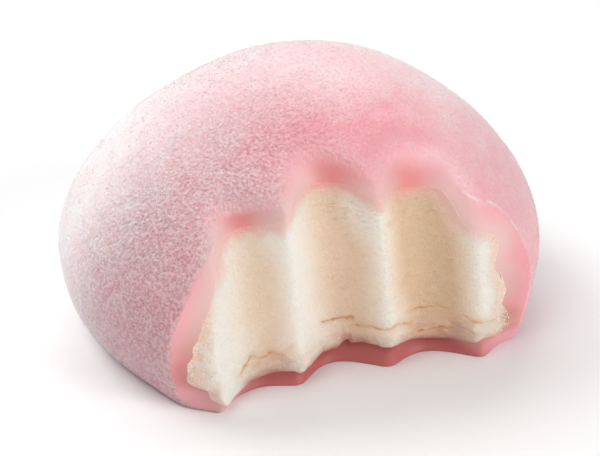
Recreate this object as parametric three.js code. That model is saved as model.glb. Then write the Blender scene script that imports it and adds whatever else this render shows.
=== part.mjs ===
// A ball of mochi ice cream with one bite taken: a soft rice-dough skin round an ice cream filling.
// Millimetres, +Z up. The origin is the centre of the flat base and the bite faces -Y.
import * as THREE from 'three';
import { mergeVertices } from 'three/addons/utils/BufferGeometryUtils.js';

const { clamp, degToRad, lerp } = THREE.MathUtils;

// ---- Driving dimensions -------------------------------------------------------------------

// The whole ball before the bite: it has settled under its own weight, so it is widest low down.
const height = 27.7;
const waistRadius = 24.15;
const waistHeight = 8.2;
const baseRadius = 20.1; // the flat disc it rests on
const crownLean = { x: 1.15, y: -0.65 }; // how far the crown leans off the base's centre
const crownTaper = { share: 0.225, power: 1.5 }; // how much slimmer than an ellipse the crown is
const underShape = { rise: 1.8, side: 1.5 }; // powers of the outline below the waist, 2 is round

const skinThickness = 2.1;
const fillingGap = 0.3; // clearance between the skin and the filling
const lipRounding = 0.9; // how far the skin's bitten edge curves back from the bite

// The bite wall stands nearly upright. Where two teeth met they left a ridge, so the ridges come
// between the tooth marks: from left to right, each from its foot, level with the base, to its
// top, at ridgeTopHeight. The first and the last lie just outside the ball.
const ridgeTopHeight = 22;
const toothRidges = [
  { foot: { x: -20.3, y: -12.4 }, top: { x: -19.7, y: -16.8 } },
  { foot: { x: -15.4, y: -15.7 }, top: { x: -16.0, y: -12.4 } },
  { foot: { x: -6.2, y: -14.0 }, top: { x: -8.4, y: -14.3 } },
  { foot: { x: 3.2, y: -14.7 }, top: { x: 1.2, y: -15.0 } },
  { foot: { x: 12.3, y: -17.0 }, top: { x: 10.7, y: -15.9 } },
  { foot: { x: 19.9, y: -17.0 }, top: { x: 18.7, y: -20.7 } },
];
const toothDepths = [0.4, 1.95, 2.7, 2.2, 1.8]; // of each mark, behind the line between its ridges
const ridgeBluntness = 0.25; // 0 is a knife edge, 1 a plain wave

// Mesh fineness
const columns = 112; // round the bite, an even number
const outerRows = 14; // from the back of the ball to the bite
const innerRows = 10;
const lipRows = 6; // across the skin's bitten edge
const wallRows = 5; // from the bite wall's edge to its middle

// ---- The ball -----------------------------------------------------------------------------

// Radius of the ball at height z, on the surface that lies `inset` inside its outside.
function radiusAt(z, inset) {
  const widest = waistRadius - inset;
  if (z >= waistHeight) {
    const rise = Math.min((z - waistHeight) / (height - inset - waistHeight), 1);
    return widest * Math.sqrt(1 - rise ** 2) * (1 - crownTaper.share * rise ** crownTaper.power);
  }
  const drop = Math.min((waistHeight - z) / (waistHeight - inset), 1);
  const fullness = (1 - drop ** underShape.rise) ** (1 / underShape.side);
  return lerp(baseRadius - inset, widest, fullness);
}

function isInside(point, inset) {
  if (point.z < inset || point.z > height - inset) return false;
  const lean = (point.z / height) ** 2;
  const fromAxis = Math.hypot(point.x - crownLean.x * lean, point.y - crownLean.y * lean);
  return fromAxis < radiusAt(point.z, inset);
}

// Halves the range from `yes` to `no` down to the value where the test turns from true to false.
function boundary(yes, no, test) {
  for (let step = 0; step < 40; step += 1) {
    const middle = (yes + no) / 2;
    if (test(middle)) yes = middle;
    else no = middle;
  }
  return yes;
}

// Points on the ball's surfaces are found from a core inside it. `swing` is the angle from the
// back, +Y, to the point, and `turn` is the way it swings: 0 is to +X and 90 degrees is up.
const core = new THREE.Vector3(0, 0, waistHeight);

function surfacePoint(turn, swing, inset) {
  const direction = new THREE.Vector3(
    Math.sin(swing) * Math.cos(turn),
    Math.cos(swing),
    Math.sin(swing) * Math.sin(turn),
  );
  const pointAt = (distance) => core.clone().addScaledVector(direction, distance);
  const point = pointAt(boundary(0, 2 * waistRadius, (distance) => isInside(pointAt(distance), inset)));
  if (Math.abs(point.z - inset) < 1e-6) point.z = inset; // exactly flat underneath
  return point;
}

// ---- The bite -----------------------------------------------------------------------------

// Depth of a tooth mark across its width, 0 on the ridges at its sides and 1 in its middle.
function markProfile(across) {
  const wave = Math.hypot(Math.sin(Math.PI * across), ridgeBluntness);
  return (wave - ridgeBluntness) / (Math.hypot(1, ridgeBluntness) - ridgeBluntness);
}

function ridgeAt(ridge, z) {
  const rise = z / ridgeTopHeight;
  return {
    x: lerp(ridge.foot.x, ridge.top.x, rise ** 2),
    y: lerp(ridge.foot.y, ridge.top.y, rise),
  };
}

// The point of the bite wall at (x, z). In front of it, at a lower y, the ball is gone.
function wallPoint(x, z) {
  const ridges = toothRidges.map((ridge) => ridgeAt(ridge, z));
  const next = ridges.findIndex((ridge, index) => index > 0 && x < ridge.x);
  const right = next < 0 ? ridges.length - 1 : next;
  const from = ridges[right - 1];
  const to = ridges[right];
  const across = (x - from.x) / (to.x - from.x);
  const mark = toothDepths[right - 1] * markProfile(clamp(across, 0, 1));
  return new THREE.Vector3(x, lerp(from.y, to.y, across) + mark, z);
}

// Where the bite wall ends at a surface of the ball: from its right end over the top to its left
// end and back along the bottom. A column and its mirror, `columns - column`, have the same x.
function wallEdge(inset) {
  const isKept = (x, z) => isInside(wallPoint(x, z), inset);
  const endAt = (side) => boundary(0, side * waistRadius, (x) => isKept(x, waistHeight));
  const [left, right] = [endAt(-1), endAt(1)];
  return Array.from({ length: columns }, (_, column) => {
    const x = lerp(left, right, (1 + Math.cos((2 * Math.PI * column) / columns)) / 2);
    const farSide = column <= columns / 2 ? height : 0;
    return wallPoint(x, boundary(waistHeight, farSide, (z) => isKept(x, z)));
  });
}

const fillingInset = skinThickness + fillingGap;
const fillingEdge = wallEdge(fillingInset);
const columnTurns = fillingEdge.map((point) => Math.atan2(point.z - core.z, point.x - core.x));

// ---- Solids made of rings round the bite ----------------------------------------------------

// The line where a surface of the ball stops, `recess` behind the bite wall, as swings by column.
function swingsToBite(inset, recess) {
  return columnTurns.map((turn) =>
    boundary(degToRad(40), degToRad(175), (swing) => {
      const point = surfacePoint(turn, swing, inset);
      return point.y > wallPoint(point.x, point.z).y + recess;
    }),
  );
}

// Rings over a surface of the ball, from its back to the swings where it stops.
function ballRings(inset, swings, rows) {
  return Array.from({ length: rows + 1 }, (_, row) =>
    columnTurns.map((turn, column) => surfacePoint(turn, (swings[column] * row) / rows, inset)),
  );
}

// A closed mesh from rings that each join the next. Its first and last ring close on themselves:
// their points coincide, so they are merged and the triangles between them drop out.
function closedSolid(rings) {
  const points = rings.flat();
  const triangles = [];
  for (let row = 0; row + 1 < rings.length; row += 1) {
    for (let column = 0; column < columns; column += 1) {
      const nextColumn = (column + 1) % columns;
      const [a, b] = [row * columns + column, row * columns + nextColumn];
      const [c, d] = [a + columns, b + columns];
      const alongAD = points[a].distanceTo(points[d]) < points[b].distanceTo(points[c]);
      triangles.push(...(alongAD ? [[a, b, d], [a, d, c]] : [[a, b, c], [b, d, c]]));
    }
  }
  const loose = new THREE.BufferGeometry().setFromPoints(points);
  loose.setIndex(triangles.flat());
  const geometry = mergeVertices(loose);
  const merged = Array.from(geometry.index.array);
  const kept = merged.flatMap((corner, index) => {
    const [a, b, c] = merged.slice(index - (index % 3), index - (index % 3) + 3);
    return a === b || b === c || c === a ? [] : [corner];
  });
  geometry.setIndex(kept);
  geometry.computeVertexNormals();
  return geometry;
}

// The skin goes from behind over its outside, round its bitten lip and back along its inside.
function mochiSkin() {
  const outside = ballRings(0, swingsToBite(0, lipRounding), outerRows);
  const inside = ballRings(skinThickness, swingsToBite(skinThickness, lipRounding), innerRows);
  const lip = Array.from({ length: lipRows - 1 }, (_, row) => {
    const sweep = (Math.PI * (row + 1)) / lipRows;
    const inset = (skinThickness * (1 - Math.cos(sweep))) / 2;
    const swings = swingsToBite(inset, lipRounding * (1 - Math.sin(sweep)));
    return columnTurns.map((turn, column) => surfacePoint(turn, swings[column], inset));
  });
  const geometry = closedSolid([...outside, ...lip, ...inside.reverse()]);
  const material = new THREE.MeshStandardMaterial({ color: 0xeeb9be, roughness: 0.7, metalness: 0 });
  const skin = new THREE.Mesh(geometry, material);
  skin.name = 'mochi_skin';
  return skin;
}

// The filling runs right through the ball inside the skin, and its front is the bite wall. The
// rings on the wall shrink to a line along its middle, where each column meets its mirror.
function iceCream() {
  const body = ballRings(fillingInset, swingsToBite(fillingInset, 0), innerRows);
  const wall = Array.from({ length: wallRows }, (_, row) =>
    fillingEdge.map((point, column) => {
      const mirror = fillingEdge[(columns - column) % columns];
      const middleZ = (point.z + mirror.z) / 2;
      return wallPoint(point.x, lerp(point.z, middleZ, (row + 1) / wallRows));
    }),
  );
  const geometry = closedSolid([...body, ...wall]);
  const material = new THREE.MeshStandardMaterial({ color: 0xebdfcb, roughness: 0.75, metalness: 0 });
  const filling = new THREE.Mesh(geometry, material);
  filling.name = 'ice_cream';
  return filling;
}

const mochi = new THREE.Group();
mochi.name = 'bitten_mochi';
mochi.add(mochiSkin(), iceCream());

export default mochi;
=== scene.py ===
"""A ball of mochi ice cream with one bite taken, dressed over its CAD frame.

Shapes are worked out in millimetres and become metres in make_piece(). +Z is up and the bite
faces -Y. The skin and the filling are closed meshes of rings round the bite, as in the CAD
part, but fine enough for clumps of starch, crumbs and cracks to be real relief.

A grid of points has rows from the back of the ball to the bite and columns round the bite. A
mask is a number at each point, mostly from 0 to 1, that tells the material where a look applies.
"""

import math

import bmesh
import bpy
import numpy as np
from mathutils import Matrix, Vector


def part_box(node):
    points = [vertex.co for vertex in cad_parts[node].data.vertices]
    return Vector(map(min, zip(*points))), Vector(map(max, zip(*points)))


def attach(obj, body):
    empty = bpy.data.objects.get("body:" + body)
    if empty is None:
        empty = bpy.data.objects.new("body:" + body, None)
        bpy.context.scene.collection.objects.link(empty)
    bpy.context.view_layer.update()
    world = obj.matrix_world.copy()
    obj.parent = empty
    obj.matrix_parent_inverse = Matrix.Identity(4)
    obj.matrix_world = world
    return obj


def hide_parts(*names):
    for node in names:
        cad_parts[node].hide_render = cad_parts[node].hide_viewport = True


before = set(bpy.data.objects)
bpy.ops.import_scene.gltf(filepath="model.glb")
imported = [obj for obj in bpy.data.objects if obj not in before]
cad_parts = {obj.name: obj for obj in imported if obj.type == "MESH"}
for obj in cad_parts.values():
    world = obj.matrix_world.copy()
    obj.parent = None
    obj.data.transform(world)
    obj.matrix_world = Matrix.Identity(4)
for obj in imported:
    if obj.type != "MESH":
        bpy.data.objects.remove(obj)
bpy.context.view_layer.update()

MM = 0.001

# ---- The ball, in millimetres ---------------------------------------------------------------

SHELL_MARGIN = 0.15  # the dressed skin stays this far inside the CAD box, for the grains on it
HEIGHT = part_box("mochi_skin")[1].z / MM - SHELL_MARGIN
FRONT_MARGIN = 0.03
FRONT_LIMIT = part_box("mochi_skin")[0].y / MM + FRONT_MARGIN  # nothing stands further forward
FRONT_SOFTNESS = 0.05  # how gently a surface turns where it meets FRONT_LIMIT
WAIST_RADIUS = 24.15 - SHELL_MARGIN
WAIST_HEIGHT = 8.2
BASE_RADIUS = 20.1
LEAN = np.array([1.15, -0.65])  # of the crown, off the base's centre
TAPER_SHARE, TAPER_POWER = 0.225, 1.5  # how much slimmer than an ellipse the crown is
UNDER_RISE, UNDER_SIDE = 1.8, 1.5  # powers of the outline below the waist, 2 is round
CORE = np.array([0.0, 0.0, WAIST_HEIGHT])  # where the lines to all surface points start

# At both ends of the bite the foot has sagged outwards: by how much, towards what angle, over
# what half width, in degrees from +X.
SAGS = [(2.1, -138.0, 17.0), (2.1, -42.0, 11.0)]

# ---- The skin's bitten edge, in millimetres -------------------------------------------------

# Directions round the bite are degrees seen from the front: 0 is to the right and 90 is up.
# Thickness of the dough skin where the bite cuts it, by direction.
SKIN = np.array([
    # To the left of the filling, low down, and under it
    [-180, 1.9], [-165, 1.0], [-151, 1.0],
    [-144, 2.0], [-118, 1.9], [-104, 2.1], [-97, 2.9], [-79, 2.6], [-61, 2.9], [-44, 2.2],
    # To its right, from the foot upwards
    [-35, 1.9], [-30, 1.6], [-25, 1.1], [-18, 1.2], [-12, 1.9], [-5, 2.6], [10, 2.6],
    [18, 1.9], [24, 1.7],
    # Over it
    [32, 2.8], [51, 1.7], [58, 2.9], [65, 3.1], [75, 2.0], [86, 2.2], [94, 2.2], [102, 2.6],
    [110, 2.1], [126, 0.9], [134, 2.4],
    # To its left, high up
    [140, 2.3], [148, 0.9], [165, 2.4], [172, 2.4], [180, 1.9],
])
SKIN_ROUNDING = 4  # degrees to each side over which the list is averaged
RAGGED, CALMED = 0.35, 0.75  # how far the edge wanders, and the share it loses over the top
WANDER_CIRCLE = 20.0  # radius of the circle of noise that the wandering is read from

# Spans of directions: at each one's start and again at its end, where it is 0 and where 1
UNDER_SPAN = (-151, -144), (-25, -37)  # the face under the filling
SHOULDER_SPAN = (28, 60), (160, 138)  # the wide shoulder over the top
TOP_SPAN = (30, 55), (160, 138)  # the bare dough over the top
CALM_SPAN = (15, 40), (160, 140)  # where the edge wanders less
CREST_SPAN = (12, 18), (46, 41)  # the crest of starch to the right

# How far the cut edge rounds back to the outside: along the bottom, at the sides, over the top
SHOULDER_UNDER, SHOULDER_SIDE, SHOULDER_TOP = 0.3, 0.8, 3.0
UNDER_CORNER = 0.2  # share of the thickness over which the bottom lip's corner rounds
UNDERCUT = 0.3  # how far the bottom lip's face is hollowed behind its foot
INNER_RECESS = 0.25  # the skin's inside stops this far behind the bite
BURIED = 0.12  # the filling reaches this far into the skin, so that no gap shows
BURIED_RECESS = 0.5  # the filling's hidden outside stops this far behind the bite

# ---- The bite, in millimetres ---------------------------------------------------------------

# Ridges between the tooth marks, left to right: foot (x, y), then top (x, y) at RIDGE_TOP.
RIDGE_TOP = 22.0
RIDGES = np.array([
    [[-20.3, -12.4], [-19.7, -16.8]],
    [[-15.4, -15.7], [-16.0, -12.4]],
    [[-6.2, -14.0], [-8.4, -14.3]],
    [[3.2, -14.7], [1.2, -15.0]],
    [[12.3, -17.0], [10.7, -15.9]],
    [[19.9, -17.0], [18.7, -20.7]],
])
TOOTH_DEPTHS = np.array([0.4, 1.95, 2.7, 2.2, 1.5])
BLUNTNESS = 0.25  # of the ridges: 0 is a knife edge, 1 a plain wave
# How brown each mark is down its middle, partly the ice cream's own tan and partly painted shade and
# warm bounce light, and how far from its left ridge the brown begins
TAN_OF_MARKS = np.array([0.0, 0.62, 0.78, 1.0, 0.2])
TAN_STARTS = np.array([0.0, 0.8, 0.5, -1.5, 0.0])

# Where the skin over the tooth marks is reddest: x and half width
REDS = [(-11.4, 1.7), (-2.1, 2.3), (5.7, 2.2)]

# Cracks just above the filling's lowest band: strength, then (x, z) from left to right. Their brown is
# partly their own and partly painted shade in them.
CRACKS = [
    (0.9, [(-12.4, 2.9), (-12.1, 3.3), (-11.1, 3.9), (-10.0, 3.8), (-9.1, 4.1), (-8.1, 3.8)]),
    (0.5, [(-8.3, 3.8), (-7.7, 4.1), (-7.1, 4.6)]),
    (0.9, [(-3.0, 5.3), (-2.1, 5.1), (-1.3, 5.2), (0.1, 5.2)]),
    (1.0, [(0.5, 4.5), (1.7, 4.5), (2.6, 4.4), (3.1, 4.3), (4.0, 4.7), (5.7, 4.2)]),
    (1.0, [(5.7, 5.4), (7.1, 5.3), (8.1, 5.3)]),
    (0.6, [(8.1, 5.3), (8.7, 5.4), (9.4, 5.1)]),
    # Strongest, so that its brown also paints the shade low in the third mark
    (1.3, [(6.5, 3.0), (8.1, 3.1), (9.3, 3.1)]),
    (0.4, [(9.3, 3.1), (9.8, 4.1), (10.7, 4.7), (11.2, 4.4)]),
    (1.0, [(11.2, 4.3), (12.2, 4.1)]),
    (0.6, [(12.2, 4.1), (13.6, 3.9)]),
]
CRACK_HALF_WIDTH, CRACK_DEPTH = 0.13, 0.15
# The brown round a crack is partly painted shade
HALO_HALF_WIDTH = 0.5  # of the brown round a crack
NICK = (-8.65, 2.3)  # x and z of a tip of red dough that reaches up into the filling's foot
MIDDLE = (-0.5, 8.5)  # x and z where the rings on the ice cream's face close

# ---- Fineness -------------------------------------------------------------------------------

# Columns round the bite, and rows along each stretch of a column
SKIN_COLUMNS = 720
FILLING_COLUMNS = 1100
OUTER_ROWS = 290
LIP_ROWS = 26
INNER_ROWS = 12
WALL_ROWS = 100
EDGE_STEPS = 2401  # for measuring the length of the bitten edge
WELD_DISTANCE = 0.0005

STARCH_GRAINS = 36000
CREAM_CRUMBS = 800


# ---- Noise and slopes -----------------------------------------------------------------------

LATTICE_FACTORS = np.array([374761393, 668265263, 1274126177], np.int64)  # these mix well
LATTICE_START = 1000.0  # keeps the number of every cell positive


def lattice_values(cell, seed):
    """A fixed random number from -1 to 1 for each whole-number cell."""
    mixed = (cell * LATTICE_FACTORS).sum(-1) + seed * 69069
    mixed = (mixed ^ (mixed >> 13)) * 1103515245 & 0x7FFFFFFF
    mixed = (mixed ^ (mixed >> 16)) * 668265263 & 0x7FFFFFFF
    return mixed / 0x3FFFFFFF - 1.0


def noise(points, size, seed):
    """Smooth noise from about -1 to 1 whose lumps are about `size` across."""
    scaled = points / size + LATTICE_START
    cell = np.floor(scaled).astype(np.int64)
    part = scaled - cell
    ease = part * part * (3 - 2 * part)
    total = np.zeros(points.shape[:-1])
    for corner in np.ndindex(2, 2, 2):
        weight = np.prod(np.where(np.array(corner) == 1, ease, 1 - ease), axis=-1)
        total += weight * lattice_values(cell + np.array(corner), seed)
    return total


def layered_noise(points, size, seed, layers):
    """Noise with finer and fainter layers on top of the first."""
    total = sum(noise(points, size / 2**k, seed + k) * 0.55**k for k in range(layers))
    return total / sum(0.55**k for k in range(layers))


def smooth_step(low, high, value):
    """0 at `low` and before, 1 at `high` and beyond. `low` may be the greater of the two."""
    t = np.clip((value - low) / (high - low), 0, 1)
    return t * t * (3 - 2 * t)


def bell(value, centre, half_width):
    """1 at the centre, fading out on both sides."""
    return np.exp(-(((value - centre) / half_width) ** 2))


def in_span(span, degrees):
    """1 inside a span of directions and 0 outside it, with its slope at each end."""
    start, end = span
    return smooth_step(*start, degrees) * smooth_step(*end, degrees)


# ---- Surfaces of the ball and of the bite ---------------------------------------------------

def radius_at(z, inset, sag):
    """Radius of the ball at height z, on the surface `inset` inside its outside."""
    widest = WAIST_RADIUS - inset
    rise = np.clip((z - WAIST_HEIGHT) / (HEIGHT - inset - WAIST_HEIGHT), 0, 1)
    crown = widest * np.sqrt(1 - rise**2) * (1 - TAPER_SHARE * rise**TAPER_POWER)
    drop = np.clip((WAIST_HEIGHT - z) / (WAIST_HEIGHT - inset), 0, 1)
    foot = BASE_RADIUS + sag - inset
    under = foot + (widest - foot) * (1 - drop**UNDER_RISE) ** (1 / UNDER_SIDE)
    return np.where(z >= WAIST_HEIGHT, crown, under)


def is_inside(x, y, z, inset):
    """Whether a point lies more than `inset` inside the whole ball, as it was before the bite."""
    lean = (z / HEIGHT) ** 2
    from_axis = np.hypot(x - LEAN[0] * lean, y - LEAN[1] * lean)
    angle = np.degrees(np.arctan2(y, x))
    sag = sum(amount * bell(angle, towards_angle, width) for amount, towards_angle, width in SAGS)
    return (z > inset) & (z < HEIGHT - inset) & (from_axis < radius_at(z, inset, sag))


def boundary(yes, no, test, steps=34):
    """Halves each range from `yes` to `no` down to where the test turns from true to false."""
    yes, no = np.broadcast_arrays(np.asarray(yes, float), np.asarray(no, float))
    for _ in range(steps):
        middle = (yes + no) / 2
        passed = test(middle)
        yes, no = np.where(passed, middle, yes), np.where(passed, no, middle)
    return yes


def surface_points(turn, swing, inset):
    """Points of the ball seen from its core: `swing` from +Y, turned `turn` from +X upwards."""
    direction = (np.sin(swing) * np.cos(turn), np.cos(swing), np.sin(swing) * np.sin(turn))

    def at(distance):
        return [c + d * distance for c, d in zip(CORE, direction)]

    far = boundary(np.zeros_like(swing), 2 * WAIST_RADIUS, lambda s: is_inside(*at(s), inset))
    return np.stack(at(far), axis=-1)


def mark_profile(across):
    """Depth of a tooth mark across its width: 0 on the ridges at its sides, 1 in its middle."""
    wave = np.hypot(np.sin(np.pi * across), BLUNTNESS)
    return (wave - BLUNTNESS) / (math.hypot(1, BLUNTNESS) - BLUNTNESS)


def ridge_lines(z):
    """The x and the y of every ridge at height z."""
    rise = z / RIDGE_TOP
    xs = [foot[0] + (top[0] - foot[0]) * rise**2 for foot, top in RIDGES]
    ys = [foot[1] + (top[1] - foot[1]) * rise for foot, top in RIDGES]
    return xs, ys


def wall_y(x, z):
    """The bite wall's y over (x, z), before its fine relief. In front of it the ball is gone."""
    xs, ys = ridge_lines(z)
    result = np.zeros(np.broadcast(x, z).shape)
    for index, depth in enumerate(TOOTH_DEPTHS):
        across = (x - xs[index]) / (xs[index + 1] - xs[index])
        chord = ys[index] + (ys[index + 1] - ys[index]) * across
        here = chord + depth * mark_profile(np.clip(across, 0, 1))
        result = np.where((across >= 0) | (index == 0), here, result)
    return result


def swings_to_bite(turn, inset, recess):
    """The swings at which a surface of the ball comes within `recess` of the bite wall."""
    nearest, farthest = math.radians(40), math.radians(175)

    def is_behind(swing):
        x, y, z = np.moveaxis(surface_points(turn, swing, inset), -1, 0)
        return y > wall_y(x, z) + recess

    return boundary(np.full(turn.shape, nearest), farthest, is_behind, steps=26)


def skin_at(turn):
    """The skin's thickness in each direction, without the corners of the SKIN list."""
    degrees = np.degrees(turn)
    spread = np.linspace(-SKIN_ROUNDING, SKIN_ROUNDING, 9)[:, None]
    thickness = np.interp(degrees + spread, *SKIN.T, period=360).mean(0)
    on_circle = WANDER_CIRCLE * np.stack([np.cos(turn), np.zeros_like(turn), np.sin(turn)], axis=-1)
    wander = RAGGED - CALMED * RAGGED * in_span(CALM_SPAN, degrees)
    return thickness + wander * layered_noise(on_circle, 2.2, 41, 2)


class BiteEdge:
    """The line where the skin's inside meets the bite wall, at evenly spaced columns."""

    def __init__(self, columns, into_skin):
        fine_turn = np.linspace(-np.pi, np.pi, EDGE_STEPS)
        line = self.line_at(fine_turn, skin_at(fine_turn) - into_skin)
        length = np.concatenate([[0], np.cumsum(np.linalg.norm(np.diff(line, axis=0), axis=-1))])
        self.turn = np.interp(length[-1] * np.arange(columns) / columns, length, fine_turn)
        self.degrees = np.degrees(self.turn)
        self.skin = skin_at(self.turn)
        self.inset = self.skin - into_skin
        self.points = self.line_at(self.turn, self.inset)
        self.under = in_span(UNDER_SPAN, self.degrees)

    @staticmethod
    def line_at(turn, inset):
        return surface_points(turn, swings_to_bite(turn, inset, 0.0), inset)

    def squareness(self):
        """How directly the line from MIDDLE crosses the edge: 1 where it does so at right angles."""
        along = np.roll(self.points, -1, axis=0) - np.roll(self.points, 1, axis=0)
        outward = self.points[:, [0, 2]] - np.array(MIDDLE)
        crossed = np.abs(along[:, 0] * outward[:, 1] - along[:, 2] * outward[:, 0])
        return crossed / (np.hypot(along[:, 0], along[:, 2]) * np.hypot(*outward.T))


def mark_middle(x, z):
    """0 on the ridges and 1 down the middle of each tooth mark."""
    xs, _ = ridge_lines(z)
    result = np.zeros(x.shape)
    for index in range(len(TOOTH_DEPTHS)):
        across = (x - xs[index]) / (xs[index + 1] - xs[index])
        inside = (across >= 0) & (across <= 1)
        result = np.where(inside, np.sin(np.pi * np.clip(across, 0, 1)), result)
    return result


def redness(x):
    """1 over the middle of each of the REDS, fading out on both sides."""
    return np.clip(sum(bell(x, middle, half_width) for middle, half_width in REDS), 0, 1)


# ---- Meshes ---------------------------------------------------------------------------------

def ring_normals(grid):
    """A unit normal at each point of a grid of rings, pointing out of the solid."""
    along = np.gradient(grid, axis=0)
    around = np.roll(grid, -1, axis=1) - np.roll(grid, 1, axis=1)
    normal = np.cross(around, along)
    length = np.linalg.norm(normal, axis=-1, keepdims=True)
    return normal / np.maximum(length, 1e-9)


def hold_back(grid):
    """Keeps a grid behind FRONT_LIMIT, with a soft turn rather than a flat cut."""
    ahead = (FRONT_LIMIT - grid[..., 1]) / FRONT_SOFTNESS
    grid[..., 1] += FRONT_SOFTNESS * np.logaddexp(0, ahead)
    return grid


def make_piece(name, points, faces, masks, material):
    """A mesh object from points in millimetres, with an attribute for each mask."""
    mesh = bpy.data.meshes.new(name)
    mesh.from_pydata((points * MM).tolist(), [], faces.tolist())
    mesh.polygons.foreach_set("use_smooth", np.ones(len(mesh.polygons), bool))
    for mask_name, values in masks.items():
        attribute = mesh.attributes.new(mask_name, "FLOAT", "POINT")
        attribute.data.foreach_set("value", values.ravel().astype(np.float32))
    mesh.update()
    mesh.materials.append(material)
    piece = bpy.data.objects.new(name, mesh)
    bpy.context.scene.collection.objects.link(piece)
    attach(piece, "root")
    return piece


def closed_rings(name, grid, masks, material):
    """A closed piece from a grid of rings, whose first and last ring are drawn to a point."""
    rows, columns = grid.shape[:2]
    row, column = np.meshgrid(np.arange(rows - 1), np.arange(columns), indexing="ij")
    beside = (column + 1) % columns
    quads = np.stack([
        row * columns + column,
        row * columns + beside,
        (row + 1) * columns + beside,
        (row + 1) * columns + column,
    ], axis=-1).reshape(-1, 4)
    piece = make_piece(name, grid.reshape(-1, 3), quads, masks, material)
    weld(piece)
    return piece


def weld(piece):
    """Joins the points that coincide, where a ring is drawn to a point."""
    work = bmesh.new()
    work.from_mesh(piece.data)
    bmesh.ops.remove_doubles(work, verts=work.verts, dist=WELD_DISTANCE * MM)
    work.to_mesh(piece.data)
    work.free()


# ---- Skin -----------------------------------------------------------------------------------

# How thickly the starch lies at the bite, and how much more of it lies at the back and the left
POWDER_AT_BITE, POWDER_TO_BACK, POWDER_TO_LEFT = 0.11, 0.57, 0.08
POWDER_DRIFT = 0.10  # how unevenly it lies, in wide drifts and again in narrow ones

# Patches where the starch lies thicker or thinner than around them: centre, radius, change
BLOOMS = [
    ((1.8, -3.5, 27.0), 3.2, 0.12),
    ((8.5, -7.0, 25.0), 5.0, -0.11),
    ((-5.0, -4.0, 26.0), 3.0, -0.12),
    ((2.2, -10.4, 24.6), 5.4, -0.18),
    ((-5.5, -9.5, 24.4), 4.6, -0.19),
    ((-10.0, 3.0, 24.5), 7.5, -0.24),
    ((5.0, 4.0, 26.0), 7.0, -0.22),
    ((-11.7, -7.6, 22.3), 3.5, 0.09),
    ((-9.2, -7.4, 23.7), 0.9, -0.25),
    ((-11.0, -7.6, 22.6), 0.8, -0.22),
    ((-14.6, -5.6, 20.4), 1.0, -0.20),
    ((-18.7, -13.2, 3.0), 4.5, 0.20),
    ((-21.0, -2.0, 15.0), 5.0, 0.10),
]


def lip_recess(edge, depth):
    """How far behind the bite wall the cut edge lies, at `depth` 0 outside to 1 inside."""
    over_top = in_span(SHOULDER_SPAN, edge.degrees)
    shoulder = SHOULDER_SIDE + (SHOULDER_TOP - SHOULDER_SIDE) * over_top
    over = shoulder * (1 - math.sqrt(1 - (1 - depth) ** 2))
    corner = np.clip(1 - depth / UNDER_CORNER, 0, 1)
    under = SHOULDER_UNDER * (1 - np.sqrt(1 - corner**2)) + UNDERCUT * math.sin(math.pi * depth)
    return over + (under - over) * edge.under


def skin_grid(edge):
    """Rings over the outside, round the cut edge and back inside, and each ring's depth."""
    turn = edge.turn[None]
    outer_swing = swings_to_bite(edge.turn, 0.0, lip_recess(edge, 0.0))
    inner_swing = swings_to_bite(edge.turn, edge.skin, INNER_RECESS)
    outer_share = np.linspace(0, 1, OUTER_ROWS)[:, None]
    rows = [surface_points(turn, outer_share * outer_swing[None], 0.0)]
    depths = [0.0] * OUTER_ROWS
    for sweep in np.linspace(0, np.pi / 2, LIP_ROWS + 1)[1:]:
        depth = 1 - math.cos(sweep)
        inset = depth * edge.skin
        swing = swings_to_bite(edge.turn, inset, lip_recess(edge, depth))
        rows.append(surface_points(turn, swing[None], inset[None]))
        depths.append(depth)
    inner_share = np.linspace(1, 0, INNER_ROWS)[:, None]
    rows.append(surface_points(turn, inner_share * inner_swing[None], edge.skin[None]))
    depths += [1.0] * INNER_ROWS
    return np.concatenate(rows), np.array(depths)[:, None]


def distance_from_filling(grid):
    """How far each point of the skin is from the cut edge's inside, along its column."""
    steps = np.linalg.norm(np.diff(grid, axis=0), axis=-1)
    along = np.concatenate([np.zeros((1, grid.shape[1])), np.cumsum(steps, axis=0)])
    return np.abs(along[OUTER_ROWS + LIP_ROWS - 1] - along)


def powder_density(points):
    """How thickly the starch lies, 0 to 1, before it ends at the bite."""
    from_core = points - CORE
    leftwards = -from_core[..., 0] / np.maximum(np.linalg.norm(from_core, axis=-1), 1e-6)
    density = POWDER_AT_BITE + POWDER_TO_BACK * smooth_step(-16.0, 8.0, points[..., 1])
    density = density + POWDER_TO_LEFT * smooth_step(0.0, 0.8, leftwards)
    for centre, radius, change in BLOOMS:
        away = np.linalg.norm(points - np.array(centre), axis=-1)
        density = density + change * bell(away, 0, radius)
    drift = layered_noise(points, 6.0, 11, 3)
    fine_drift = layered_noise(points, 1.6, 31, 2)
    return np.clip(density + POWDER_DRIFT * drift + POWDER_DRIFT * fine_drift, 0, 1)


def graininess(x, y):
    """How coarse the starch is, and how strongly the pits between its clumps get painted shade: most
    at the front left, least at the back and to the right.
    """
    leftwards = smooth_step(8.0, -10.0, x)
    grainy = 0.18 + 0.82 * smooth_step(6.0, -8.0, y) * (0.1 + 0.9 * leftwards)
    # Stronger still at the far left: coarser starch, and deeper painted shade in its pits
    return grainy * (1 + 0.4 * smooth_step(-14.0, -21.0, x))


def crest_of_starch(grid, behind, degrees):
    """A broken white line of starch along the outside of the cut edge, at the right."""
    broken = 0.5 + 0.7 * layered_noise(grid, 0.9, 61, 3)
    return np.clip(bell(behind, 0.62, 0.10) * in_span(CREST_SPAN, degrees) * broken, 0, 1)


def depth_of_cut_colour(x, z):
    """How deep the pink of the cut edge is: deeper low down, at the right mostly at its foot."""
    rightwards = smooth_step(0.0, 8.0, x)
    deep = smooth_step(12.0, 4.0, z) * (0.5 + 0.5 * smooth_step(1.0, 4.0, z))
    deep = deep * (1 - 0.45 * rightwards * smooth_step(3.0, 6.0, z))
    return np.maximum(deep, smooth_step(4.0, 1.5, z) * rightwards)


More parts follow.
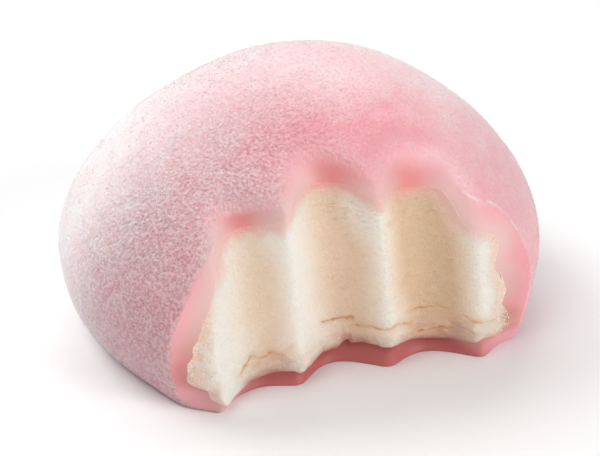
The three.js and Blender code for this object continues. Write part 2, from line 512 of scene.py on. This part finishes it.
def skin_masks(grid, edge):
    """Where the skin is dusted, where its bare dough has which pink, and where light and shade are
    painted on it.
    """
    x, y, z = np.moveaxis(grid, -1, 0)
    behind = y - wall_y(x, z)
    away = distance_from_filling(grid)
    ragged = layered_noise(grid, 2.0, 51, 4)
    over_top = in_span(TOP_SPAN, edge.degrees)
    # The starch ends in a crisp line at the sides of the bite and fades out over the top,
    # furthest off the filling in the middle of each tooth mark
    in_marks = mark_middle(x, z)
    side_limit = smooth_step(-0.12, 0.12, behind - 0.45 - 0.12 * ragged)
    top_limit = smooth_step(0.4 + 0.8 * in_marks, 2.8 + 1.8 * in_marks, away + 0.5 * ragged)
    dusted = side_limit * (1 - over_top) + top_limit * over_top
    dusted = dusted * (1 - edge.under * smooth_step(1.0, 0.4, behind))
    at_side = (1 - side_limit) * (1 - over_top)
    not_far_left = 1 - 0.9 * smooth_step(-4.0, -9.0, x)
    return {
        "powder": powder_density(grid) * dusted,
        "crest": crest_of_starch(grid, behind, edge.degrees),
        "grainy": graininess(x, y) * dusted,
        # Bare dough round the bite: at the sides, over the top with painted light on its shoulder, and
        # redder over the marks
        "bare": smooth_step(3.4, 0.6, away) * (1 - edge.under),
        "deep": at_side * depth_of_cut_colour(x, z) * (1 - edge.under),
        # Painted light: the shoulder over the top turns down, away from the lamps, and gets a paler
        # pink as if it were well lit
        "shoulder": bell(away, 3.0, 1.6) * over_top,
        "red": smooth_step(4.0, 1.2, away + 0.5 * ragged) * redness(x) * over_top,
        # The face under the filling, darker red partly as its own bare dough and partly as painted
        # shade where it faces down, and painted shade on its part next to the filling
        "under": smooth_step(1.0, 0.3, behind) * edge.under,
        "shade_by_filling": smooth_step(1.7, 0.3, away + 0.2 * ragged) * not_far_left,
        # Where the skin is thick enough for light to scatter in it
        "thick": smooth_step(0.1, 1.2, away),
    }


def skin_relief(grid, depth, masks):
    """How far the skin stands out of the plain ball: soft lumps and clumps of starch."""
    off_floor = smooth_step(0.0, 1.2, grid[..., 2])
    lumps = 0.14 * (layered_noise(grid, 7.0, 71, 2) - 0.8) * off_floor
    clumps = 0.06 * layered_noise(grid, 0.6, 91, 2) * masks["grainy"] * off_floor
    clumps = clumps + 0.06 * masks["crest"]
    return (lumps + clumps) * (1 - smooth_step(0.5, 1.0, depth))


def make_skin(material):
    """Makes the dough skin, and returns its outside and the masks there, for the grains."""
    edge = BiteEdge(SKIN_COLUMNS, 0.0)
    grid, depth = skin_grid(edge)
    masks = skin_masks(grid, edge)
    grid = hold_back(grid + ring_normals(grid) * skin_relief(grid, depth, masks)[..., None])
    skin = closed_rings("mochi_skin_dusted", grid, masks, material)
    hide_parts("mochi_skin")
    outside = OUTER_ROWS + LIP_ROWS // 2
    return grid[:outside], {key: values[:outside] for key, values in masks.items()}


# ---- Filling --------------------------------------------------------------------------------

class FillingFace:
    """The ice cream's bitten face before its relief, in rings from its edge to MIDDLE."""

    def __init__(self, edge):
        edge_x, edge_z = edge.points[:, 0], edge.points[:, 2]
        inward = np.linspace(0, 1, WALL_ROWS)[:, None]
        self.x = edge_x * (1 - inward) + MIDDLE[0] * inward
        self.z = edge_z * (1 - inward) + MIDDLE[1] * inward
        self.flat = np.stack([self.x, np.zeros_like(self.x), self.z], axis=-1)
        self.from_sides = np.minimum(edge_x.max() - self.x, self.x - edge_x.min())
        from_middle = np.hypot(edge_x - MIDDLE[0], edge_z - MIDDLE[1])
        self.from_edge = inward * from_middle * edge.squareness()
        # 1 on the band along the filling's foot, which stands out a little, and 0 above it
        line = 4.3 + 0.4 * layered_noise(self.flat, 3.0, 191, 2)
        self.low = smooth_step(line + 0.5, line - 0.6, self.z)
        # Where the teeth dragged the ice cream into fine level wrinkles: most at the top right
        upper = 0.35 + 0.65 * smooth_step(14.0, 18.0, self.z)
        self.dragged = smooth_step(-6.0, -2.0, self.x) * upper


def tan_of_marks(x, z):
    """How brown the marks are, partly their own tan and partly painted shade and warm bounce light in
    them. The brown keeps further off the left ridge low down, and further off the right ridge near the
    top."""
    xs, _ = ridge_lines(z)
    late = 1.4 * smooth_step(9.0, 4.0, z)
    early = 1.2 * smooth_step(12.0, 18.0, z)
    result = np.zeros(x.shape)
    for index, strength in enumerate(TAN_OF_MARKS):
        start = TAN_STARTS[index] + late
        from_left = smooth_step(start, start + 4.5, x - xs[index])
        from_right = smooth_step(early, early + 2.6, xs[index + 1] - x)
        inside = (x >= xs[index]) & (x < xs[index + 1])
        result = np.where(inside, strength * from_left * from_right, result)
    return result


def along_cracks(x, z, half_width, past_ends):
    """The strength of each crack along its line, fading out off it and past its ends."""
    result = np.zeros(x.shape)
    for strength, crack in CRACKS:
        xs, zs = np.array(crack).T
        beyond = np.maximum(np.maximum(xs[0] - x, x - xs[-1]), 0) * past_ends
        off_line = np.abs(z - np.interp(x, xs, zs))
        result = np.maximum(result, strength * bell(np.hypot(off_line, beyond), 0, half_width))
    return result


def crack_mask(face):
    """The cracks themselves, wavy, now wider and now narrower, and faint in places."""
    wobble = 0.30 * layered_noise(face.flat, 0.8, 201, 4)
    varying = 1 + 1.2 * layered_noise(face.flat, 0.8, 211, 3)
    half_width = np.maximum(CRACK_HALF_WIDTH * varying, 0.03)
    faint = smooth_step(-0.3, 0.25, layered_noise(face.flat, 0.7, 215, 3))
    return along_cracks(face.x, face.z + wobble, half_width, 0.8) * (0.35 + 0.65 * faint)


def filling_relief(face):
    """How far the ice cream's face lies behind the plain bite wall, point by point."""
    sideways = face.flat * np.array([0.35, 1.0, 1.0])
    wrinkles = 0.11 * layered_noise(sideways, 0.45, 131, 3) * (0.15 + face.dragged)
    swell = 0.10 * layered_noise(face.flat, 4.0, 151, 2)
    rim = np.clip(1 - face.from_edge / 0.5, 0, 1)
    crumbly = smooth_step(3.4, 1.2, face.from_sides) + 0.7 * smooth_step(4.8, 3.4, face.z)
    crumbly = np.clip(crumbly, 0, 1) * (1 - 0.5 * face.low * rim)
    crumbs = 0.30 * (layered_noise(face.flat, 0.9, 171, 4) - 0.4) * crumbly
    fine = 0.04 * layered_noise(face.flat, 0.3, 181, 2)
    rounding = 0.30 * (1 - np.sqrt(1 - rim**2)) * face.low
    # Over the top and at the sides the ice cream ends flush with the skin
    settled = np.maximum(smooth_step(0.1, 1.0, face.from_edge), face.low)
    relief = (wrinkles + swell + crumbs + fine) * settled
    return relief + rounding - 0.45 * face.low + CRACK_DEPTH * crack_mask(face)


def filling_masks(face):
    """Where the ice cream's face has which tint, and where shade is painted on it."""
    x, z = face.x, face.z
    ragged = layered_noise(face.flat, 0.9, 221, 3)
    tan_and_shade = tan_of_marks(x, z)
    upper = smooth_step(11, 15, z)
    pink = smooth_step(2.0, 0.2, face.from_edge + 0.6 * ragged) * upper
    pink_ridge = bell(x, 1.0, 0.9) * smooth_step(16.0, 19.0, z)
    reddened = smooth_step(1.0, 0.1, face.from_edge + 0.3 * ragged) * upper
    peach = smooth_step(2.4, 0.2, face.from_edge + 0.9 * ragged)
    # The foot: painted shade and red bounce light in the marks next to the lip
    foot = smooth_step(1.3, 0.0, face.from_edge + 0.3 * ragged) * smooth_step(5.0, 3.5, z)
    foot = foot * (0.15 + 0.85 * mark_middle(x, z)) * smooth_step(-13.5, -11.0, x)
    nick = bell(x, NICK[0], 0.45) * smooth_step(NICK[1] + 0.5, NICK[1] - 0.3, z)
    return {
        "tan_and_shade": tan_and_shade,
        # The low band on the ridges and in the brown of the marks, greyed and browned partly as
        # painted shade, and its edge at the foot, painted shade and red bounce light by the lip, with
        # a real tip of red dough
        "low": face.low * smooth_step(-14.0, -11.5, x) * (1 - tan_and_shade),
        "hollow_shade": face.low * tan_and_shade,
        "foot": np.maximum(foot, nick),
        # Next to the skin: over the top, over the marks and at the sides
        "pink": np.clip(pink + 0.3 * pink_ridge, 0, 1),
        "reddened": 0.7 * reddened * redness(x),
        "peach": peach * smooth_step(3.4, 2.0, face.from_sides),
        "halo": along_cracks(x, z, HALO_HALF_WIDTH, 1.0),
        "crack": crack_mask(face),
        # Where the dragged wrinkles get painted shade
        "dragged": face.dragged * smooth_step(15.0, 12.0, x),
        "crumbly": smooth_step(3.2, 1.0, face.from_sides),
        # Where the ice cream is thick enough for light to scatter in it
        "thick": smooth_step(0.1, 1.6, face.from_edge),
    }


def make_filling(material):
    """Makes the ice cream, and returns its bitten face and the distance from its sides there."""
    edge = BiteEdge(FILLING_COLUMNS, BURIED)
    swing = swings_to_bite(edge.turn, edge.inset, BURIED_RECESS)
    body_share = np.linspace(0, 1, INNER_ROWS)[:, None]
    body = surface_points(edge.turn[None], body_share * swing[None], edge.inset[None])
    face = FillingFace(edge)
    wall = np.stack([face.x, wall_y(face.x, face.z) + filling_relief(face), face.z], axis=-1)
    hidden = np.zeros(body.shape[:2])
    masks = {key: np.concatenate([hidden, values]) for key, values in filling_masks(face).items()}
    grid = hold_back(np.concatenate([body, wall]))
    filling = closed_rings("ice_cream_bitten", grid, masks, material)
    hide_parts("ice_cream")
    return wall, face.from_sides


# ---- Grains and crumbs ----------------------------------------------------------------------

# Small solids as their corners and faces
TETRAHEDRON = (
    np.array([[1, 1, 1], [1, -1, -1], [-1, 1, -1], [-1, -1, 1]]) / math.sqrt(3),
    np.array([[0, 1, 2], [0, 3, 1], [0, 2, 3], [1, 3, 2]]),
)
OCTAHEDRON = (
    np.array([[1, 0, 0], [-1, 0, 0], [0, 1, 0], [0, -1, 0], [0, 0, 1], [0, 0, -1.0]]),
    np.array([[0, 2, 4], [2, 1, 4], [1, 3, 4], [3, 0, 4], [2, 0, 5], [1, 2, 5], [3, 1, 5], [0, 3, 5]]),
)
# Each kind's smallest half size, and how much larger its largest is
GRAIN_SIZE, GRAIN_SPREAD = 0.04, 0.08
CRUMB_SIZE, CRUMB_SPREAD = 0.04, 0.09
TOASTED_SHARE = 0.06  # of the crumbs


def random_turns(rng, count):
    """Random rotation matrices."""
    turns = rng.normal(size=(4, count))
    w, x, y, z = turns / np.linalg.norm(turns, axis=0)
    return np.stack([
        np.stack([1 - 2 * (y * y + z * z), 2 * (x * y - z * w), 2 * (x * z + y * w)], -1),
        np.stack([2 * (x * y + z * w), 1 - 2 * (x * x + z * z), 2 * (y * z - x * w)], -1),
        np.stack([2 * (x * z - y * w), 2 * (y * z + x * w), 1 - 2 * (x * x + y * y)], -1),
    ], axis=-2)


def scatter(rng, grid, density, count):
    """Random points on a grid of rings, more where it is denser, and the normals there."""
    here, beside = grid[:-1], np.roll(grid[:-1], -1, axis=1)
    below, across = grid[1:], np.roll(grid[1:], -1, axis=1)
    normal = np.cross(across - here, below - beside)
    area = np.linalg.norm(normal, axis=-1)
    chance = (area * density[:-1]).ravel()
    cell = rng.choice(chance.size, size=count, p=chance / chance.sum())
    u, v = rng.random((2, count, 1))
    corners = [corner.reshape(-1, 3)[cell] for corner in (here, beside, below, across)]
    upper = corners[0] * (1 - u) + corners[1] * u
    lower = corners[2] * (1 - u) + corners[3] * u
    unit = normal / np.maximum(area, 1e-9)[..., None]
    return upper * (1 - v) + lower * v, unit.reshape(-1, 3)[cell], cell


def make_bits(name, solid, centres, sizes, rng, masks, material):
    """Many small bits joined in one piece, each turned its own way, with one mask value each."""
    corners, faces = solid
    stretch = 0.7 + 0.6 * rng.random((len(centres), 1, 3))
    turned = (corners[None] * stretch) @ random_turns(rng, len(centres))
    points = centres[:, None] + turned * sizes[:, None, None]
    all_faces = faces[None] + len(corners) * np.arange(len(centres))[:, None, None]
    point_masks = {key: np.repeat(values, len(corners)) for key, values in masks.items()}
    piece = make_piece(name, points.reshape(-1, 3), all_faces.reshape(-1, 3), point_masks, material)


def make_starch(grid, masks, material):
    """Makes the grains of starch that stand out on the skin."""
    rng = np.random.default_rng(7)
    powder, crest = masks["powder"], masks["crest"]
    off_floor = smooth_step(0.6, 1.6, grid[..., 2])
    # Where the starch lies thickest its grains merge, and few of them stand out
    thin = smooth_step(0.8, 0.4, powder)
    density = (0.03 + powder * (0.1 + 0.9 * thin) + 2.0 * crest) * off_floor
    centres, normals, cell = scatter(rng, grid, density, STARCH_GRAINS)
    sizes = GRAIN_SIZE + GRAIN_SPREAD * rng.random(STARCH_GRAINS) ** 3
    centres = centres + normals * (sizes * 0.2)[:, None]
    grain_masks = {"powder": np.maximum(powder, crest)[:-1].ravel()[cell]}
    make_bits("starch_grains", TETRAHEDRON, centres, sizes, rng, grain_masks, material)


def make_crumbs(wall, from_sides, material):
    """Makes the crumbs that stand out on the ice cream at both sides of the bite."""
    rng = np.random.default_rng(8)
    density = smooth_step(3.2, 1.2, from_sides) * smooth_step(0.9, 1.5, wall[..., 2])
    centres, _, _ = scatter(rng, wall, density, CREAM_CRUMBS)
    sizes = CRUMB_SIZE + CRUMB_SPREAD * rng.random(CREAM_CRUMBS) ** 3
    centres[:, 1] = np.maximum(centres[:, 1] + 0.3 * sizes, FRONT_LIMIT + sizes * 1.3)
    crumb_masks = {"toasted": (rng.random(CREAM_CRUMBS) < TOASTED_SHARE).astype(float)}
    make_bits("cream_crumbs", OCTAHEDRON, centres, sizes, rng, crumb_masks, material)


# ---- Shader graphs --------------------------------------------------------------------------

class Graph:
    """Short calls for making and linking shader nodes."""

    def __init__(self, name):
        self.material = bpy.data.materials.new(name)
        self.material.use_nodes = True
        self.tree = self.material.node_tree
        self.tree.nodes.clear()
        self.shader = self.tree.nodes.new("ShaderNodeBsdfPrincipled")
        output = self.tree.nodes.new("ShaderNodeOutputMaterial")
        self.tree.links.new(self.shader.outputs["BSDF"], output.inputs["Surface"])

    def node(self, kind, inputs, **settings):
        node = self.tree.nodes.new(kind)
        for key, value in settings.items():
            setattr(node, key, value)
        for key, value in inputs.items():
            self.feed(node.inputs[key], value)
        return node

    def feed(self, socket, value):
        if isinstance(value, bpy.types.NodeSocket):
            self.tree.links.new(value, socket)
        else:
            socket.default_value = value

    def set_shader(self, **values):
        """Feeds the shader's inputs: Base_Color is for "Base Color"."""
        for key, value in values.items():
            self.feed(self.shader.inputs[key.replace("_", " ")], value)

    def math(self, operation, a, b, clamp=False):
        node = self.node("ShaderNodeMath", {0: a, 1: b}, operation=operation, use_clamp=clamp)
        return node.outputs[0]

    def times(self, a, b, clamp=False):
        return self.math("MULTIPLY", a, b, clamp)

    def mask(self, name, share=1.0):
        """The mesh's mask of that name, times a share."""
        mask = self.node("ShaderNodeAttribute", {}, attribute_name=name).outputs["Fac"]
        return mask if share == 1.0 else self.times(mask, share)

    def ramp(self, value, low, high, start=0.0, end=1.0):
        inputs = {"Value": value, "From Min": low, "From Max": high, "To Min": start, "To Max": end}
        return self.node("ShaderNodeMapRange", inputs, interpolation_type="SMOOTHSTEP").outputs[0]

    def place(self, stretch=(1, 1, 1)):
        coordinates = self.node("ShaderNodeTexCoord", {}).outputs["Object"]
        return self.node("ShaderNodeMapping", {"Vector": coordinates, "Scale": stretch}).outputs[0]

    def grain(self, size_mm, detail, stretch=(1, 1, 1)):
        inputs = {"Vector": self.place(stretch), "Scale": 1 / (size_mm * MM), "Detail": detail}
        return self.node("ShaderNodeTexNoise", inputs).outputs["Fac"]

    def granules(self, size_mm):
        """Rounded grains side by side: 1 at their middles, towards 0 between them."""
        inputs = {"Vector": self.place(), "Scale": 1 / (size_mm * MM)}
        distance = self.node("ShaderNodeTexVoronoi", inputs).outputs["Distance"]
        return self.math("SUBTRACT", 1.0, distance)

    def mix(self, factor, a, b, **settings):
        """`a` where the factor is 0 and `b` where it is 1."""
        inputs = {0: factor, 6: a, 7: b}
        return self.node("ShaderNodeMix", inputs, data_type="RGBA", **settings).outputs[2]

    def shade(self, colour, factor, darkest):
        """The colour as it is where the factor is 0, and times `darkest` where it is 1."""
        return self.mix(factor, colour, (*darkest, 1.0), blend_type="MULTIPLY")

    def tinted(self, colour, tints):
        """The colour with tints laid over it: each a mask's name, its share and a colour."""
        for name, share, tint in tints:
            colour = self.mix(self.mask(name, share), colour, tint)
        return colour

    def bump(self, height, distance_mm):
        return self.node("ShaderNodeBump", {"Height": height, "Distance": distance_mm * MM}).outputs[0]

    def scatter_light(self, weight, radius, scale_mm):
        """Light scatters inside, but not where the body is thin and ends inside another."""
        self.set_shader(
            Subsurface_Weight=self.mask("thick", weight),
            Subsurface_Radius=radius,
            Subsurface_Scale=scale_mm * MM,
        )


def srgb(red, green, blue):
    """A colour given as 0 to 255 values, as the linear colour that a shader takes."""
    values = np.array([red, green, blue]) / 255
    linear = np.where(values <= 0.04045, values / 12.92, ((values + 0.055) / 1.055) ** 2.4)
    return (*linear.tolist(), 1.0)


# ---- Materials ------------------------------------------------------------------------------

STARCH, STARCH_THIN = srgb(255, 250, 250), srgb(252, 216, 221)
DOUGH, DOUGH_PALE = srgb(242, 163, 172), srgb(247, 175, 183)
CUT_DOUGH, CUT_DOUGH_DEEP = srgb(238, 193, 189), srgb(216, 136, 128)
# The second colour here is painted light: a paler pink for the dim shoulder over the tooth marks
CUT_DOUGH_RED, SHOULDER_PAINTED_LIGHT = srgb(234, 143, 141), srgb(255, 192, 197)
# The face under the filling: its darker red is partly painted shade, and the second colour is painted
# shade next to the filling
UNDER_OUTER, UNDER_SHADE_BY_FILLING = srgb(190, 100, 96), srgb(168, 62, 53)
# The second colour is the marks' brown: partly the ice cream's own tan, partly painted shade and warm
# bounce light
CREAM, CREAM_TAN = srgb(244, 237, 228), srgb(240, 207, 172)
# Painted shade low down: the low band's grey, its hollows' brown, and the foot's dark red, which is
# painted shade and red bounce light by the lip and also tints the real tip of dough
CREAM_LOW_SHADED, CREAM_HOLLOW_SHADE, CREAM_FOOT = srgb(230, 213, 198), srgb(211, 172, 154), srgb(190, 130, 116)
CREAM_PINK, CREAM_RED, CREAM_PEACH = srgb(242, 190, 180), srgb(237, 149, 139), srgb(245, 208, 186)
# The cracks and the brown round them: partly their own colour, partly painted shade
CREAM_CRACK, CREAM_HALO = srgb(213, 159, 103), srgb(226, 184, 140)
CREAM_CRUMB, CREAM_TOASTED = srgb(248, 238, 223), srgb(242, 202, 150)
PAPER, PAPER_DARKER = srgb(250, 250, 250), srgb(247, 247, 247)


def dough_colour(graph):
    """The skin without its starch, with painted light on the shoulder over the top and painted shade
    on the face under the filling.
    """
    dough = graph.mix(graph.grain(3.0, 2.0), DOUGH, DOUGH_PALE)
    cut = graph.mix(graph.mask("deep"), CUT_DOUGH, CUT_DOUGH_DEEP)
    # Painted shade: the face under the filling darkens towards the filling
    under = graph.mix(graph.mask("shade_by_filling"), UNDER_OUTER, UNDER_SHADE_BY_FILLING)
    return graph.tinted(dough, [
        ("bare", 1.0, cut),
        # Painted light on the shoulder over the top
        ("shoulder", 0.8, SHOULDER_PAINTED_LIGHT),
        ("red", 1.0, CUT_DOUGH_RED),
        ("under", 1.0, under),
    ])


def dusting(graph, pits):
    """How white the starch makes the skin. It has worn out of the pits between its clumps."""
    uneven = graph.math("ADD", graph.times(graph.grain(0.8, 3.0), 0.5), 0.75)
    dusted = graph.math("ADD", graph.times(graph.mask("powder"), uneven, True), 0.10)
    dusted = graph.math("SUBTRACT", dusted, graph.times(pits, 0.20), True)
    dusted = graph.times(dusted, graph.ramp(graph.mask("powder"), 0.0, 0.08))
    return graph.math("MAXIMUM", dusted, graph.mask("crest"), True)


def skin_material():
    graph = Graph("dusted_rice_dough")
    grainy = graph.mask("grainy")
    # The pits between the clumps of starch hold less of it, and are darkened as painted shade
    pits = graph.times(graph.ramp(graph.grain(0.34, 3.0), 0.60, 0.38), grainy)
    dusted = dusting(graph, pits)
    colour = graph.mix(dusted, dough_colour(graph), STARCH)
    height = graph.times(graph.math("ADD", graph.granules(0.36), graph.grain(0.20, 2.0)), grainy)
    graph.set_shader(
        # Painted shade in the pits between the clumps of starch
        Base_Color=graph.shade(colour, pits, (0.86, 0.83, 0.84)),
        Roughness=graph.ramp(dusted, 0.0, 0.6, 0.45, 0.85),
        Normal=graph.bump(height, 0.24),
        Sheen_Weight=0.10,
    )
    graph.scatter_light(0.4, (1.0, 0.42, 0.36), 1.5)
    return graph.material


def starch_material():
    graph = Graph("starch_grain")
    colour = graph.mix(graph.ramp(graph.mask("powder"), 0.1, 0.8), STARCH_THIN, STARCH)
    darker = graph.ramp(graph.grain(0.4, 1.0), 0.6, 0.4)
    graph.set_shader(Base_Color=graph.shade(colour, darker, (0.93, 0.90, 0.90)), Roughness=0.8)
    return graph.material


def cream_colour(graph):
    """The ice cream's colour: browner in the tooth marks, and tinted towards its edges, with painted
    shade in the marks, low down, at the foot, round the cracks and in the wrinkles.
    """
    cloudy = graph.times(graph.math("SUBTRACT", graph.grain(1.6, 3.0), 0.5), 0.25)
    tan_and_shade = graph.math("ADD", graph.mask("tan_and_shade"), cloudy, True)
    # Painted shade in the fine wrinkles that the teeth dragged
    wrinkle_shade = graph.ramp(graph.grain(0.5, 3.0, (0.35, 1.0, 1.8)), 0.50, 0.32)
    wrinkle_shade = graph.times(wrinkle_shade, graph.mask("dragged"))
    crumbly = graph.times(graph.mask("crumbly"), graph.ramp(graph.grain(0.5, 3.0), 0.5, 0.75))
    cream = graph.mix(tan_and_shade, CREAM, CREAM_TAN)
    # Painted shade: the brownest marks are darkened further
    cream = graph.shade(cream, graph.math("POWER", tan_and_shade, 3.0), (0.86, 0.86, 0.86))
    # Painted shade in the wrinkles
    cream = graph.shade(cream, wrinkle_shade, (0.88, 0.86, 0.84))
    cream = graph.tinted(cream, [
        # Painted shade low down: the band greyed and its hollows browned
        ("low", 0.7, CREAM_LOW_SHADED),
        ("hollow_shade", 1.0, CREAM_HOLLOW_SHADE),
        ("peach", 0.9, CREAM_PEACH),
    ])
    cream = graph.mix(crumbly, cream, CREAM_CRUMB)
    cream = graph.tinted(cream, [
        ("pink", 0.8, CREAM_PINK),
        ("reddened", 1.0, CREAM_RED),
        # Painted shade and red bounce light along the foot, and the real tip of dough
        ("foot", 1.0, CREAM_FOOT),
        # Partly painted shade: brown round and in the cracks
        ("halo", 0.4, CREAM_HALO),
        ("crack", 1.0, CREAM_CRACK),
    ])
    specks = graph.ramp(graph.grain(0.28, 2.0), 0.45, 0.30)
    return graph.shade(cream, specks, (0.93, 0.92, 0.91))


def filling_material():
    graph = Graph("ice_cream")
    graph.set_shader(
        Base_Color=cream_colour(graph),
        Roughness=0.62,
        Normal=graph.bump(graph.grain(0.24, 3.0, (1.0, 1.0, 1.6)), 0.12),
    )
    graph.scatter_light(0.9, (1.0, 0.8, 0.55), 2.6)
    return graph.material


def crumb_material():
    graph = Graph("cream_crumb")
    plain = graph.mix(graph.grain(0.9, 1.0), CREAM_CRUMB, CREAM)
    graph.set_shader(Base_Color=graph.tinted(plain, [("toasted", 1.0, CREAM_TOASTED)]), Roughness=0.7)
    return graph.material


def floor_material():
    graph = Graph("pale_floor")
    graph.set_shader(Base_Color=graph.mix(graph.grain(30, 2.0), PAPER, PAPER_DARKER), Roughness=0.7)
    return graph.material


# ---- Studio ---------------------------------------------------------------------------------

CAMERA_DISTANCE = 450.0  # mm
CAMERA_AZIMUTH, CAMERA_ELEVATION = math.radians(-25), math.radians(30)
LOOK_AT = Vector((0.0, 0.0, 12.0))  # mm
PIXELS_PER_MM = 10.10  # at the point looked at, in the 600 pixel wide frame
LOOK_AT_PIXEL = (297.7, 201.0)
FRAME_SIZE = (600, 456)
SENSOR = 36.0  # mm, as Blender takes it

# Soft round lights: azimuth and elevation in degrees, seen from the mochi, then watts
SOFTBOXES = {
    "right_front": (35, 25, 0.79),
    "back_left": (215, 45, 0.83),
    "back_right": (155, 52, 0.46),
    "overhead": (-90, 80, 0.20),
    "front": (-25, 25, 0.14),
    "left_front": (-58, 50, 0.30),
}
SOFTBOX_SIZE, SOFTBOX_DISTANCE = 260.0, 380.0  # mm
SOFTBOX_AIM = Vector((0, 0, 10))  # mm
WORLD_STRENGTH = 0.03
FLOOR_HALF_WIDTH = 1.5  # m


def towards(azimuth, elevation):
    """The direction that an azimuth from -Y and an elevation point to."""
    return Vector((
        math.sin(azimuth) * math.cos(elevation),
        -math.cos(azimuth) * math.cos(elevation),
        math.sin(elevation),
    ))


def add_camera():
    back = towards(CAMERA_AZIMUTH, CAMERA_ELEVATION)
    right = Vector((math.cos(CAMERA_AZIMUTH), math.sin(CAMERA_AZIMUTH), 0.0))
    up = back.cross(right)
    centre = LOOK_AT.copy()
    centre += right * ((FRAME_SIZE[0] / 2 - LOOK_AT_PIXEL[0]) / PIXELS_PER_MM)
    centre -= up * ((FRAME_SIZE[1] / 2 - LOOK_AT_PIXEL[1]) / PIXELS_PER_MM)
    data = bpy.data.cameras.new("camera")
    data.sensor_width = SENSOR
    data.lens = PIXELS_PER_MM * CAMERA_DISTANCE * SENSOR / FRAME_SIZE[0]
    data.clip_start, data.clip_end = 0.01, 10.0
    camera = bpy.data.objects.new("camera", data)
    axes = Matrix((right, up, back)).transposed().to_4x4()
    camera.matrix_world = Matrix.Translation((centre + back * CAMERA_DISTANCE) * MM) @ axes
    bpy.context.scene.collection.objects.link(camera)
    bpy.context.scene.camera = camera


def add_softboxes():
    for name, (azimuth, elevation, watts) in SOFTBOXES.items():
        data = bpy.data.lights.new(name, "AREA")
        data.shape = "DISK"
        data.size = SOFTBOX_SIZE * MM
        data.energy = watts
        light = bpy.data.objects.new(name, data)
        way = towards(math.radians(azimuth), math.radians(elevation))
        place = Matrix.Translation((way * SOFTBOX_DISTANCE + SOFTBOX_AIM) * MM)
        light.matrix_world = place @ (-way).to_track_quat("-Z", "Y").to_matrix().to_4x4()
        bpy.context.scene.collection.objects.link(light)


def add_floor():
    half = FLOOR_HALF_WIDTH
    corners = [(-half, -half, 0), (half, -half, 0), (half, half, 0), (-half, half, 0)]
    mesh = bpy.data.meshes.new("floor")
    mesh.from_pydata(corners, [], [(0, 1, 2, 3)])
    mesh.materials.append(floor_material())
    floor = bpy.data.objects.new("floor", mesh)
    bpy.context.scene.collection.objects.link(floor)


def add_world():
    scene = bpy.context.scene
    scene.view_settings.view_transform = "Standard"
    scene.world = bpy.data.worlds.new("studio")
    scene.world.use_nodes = True
    background = scene.world.node_tree.nodes["Background"]
    background.inputs["Color"].default_value = (1.0, 1.0, 1.0, 1.0)
    background.inputs["Strength"].default_value = WORLD_STRENGTH


# ---- The scene ------------------------------------------------------------------------------


add_camera()
add_world()
add_floor()
add_softboxes()

make_starch(*make_skin(skin_material()), starch_material())
make_crumbs(*make_filling(filling_material()), crumb_material())
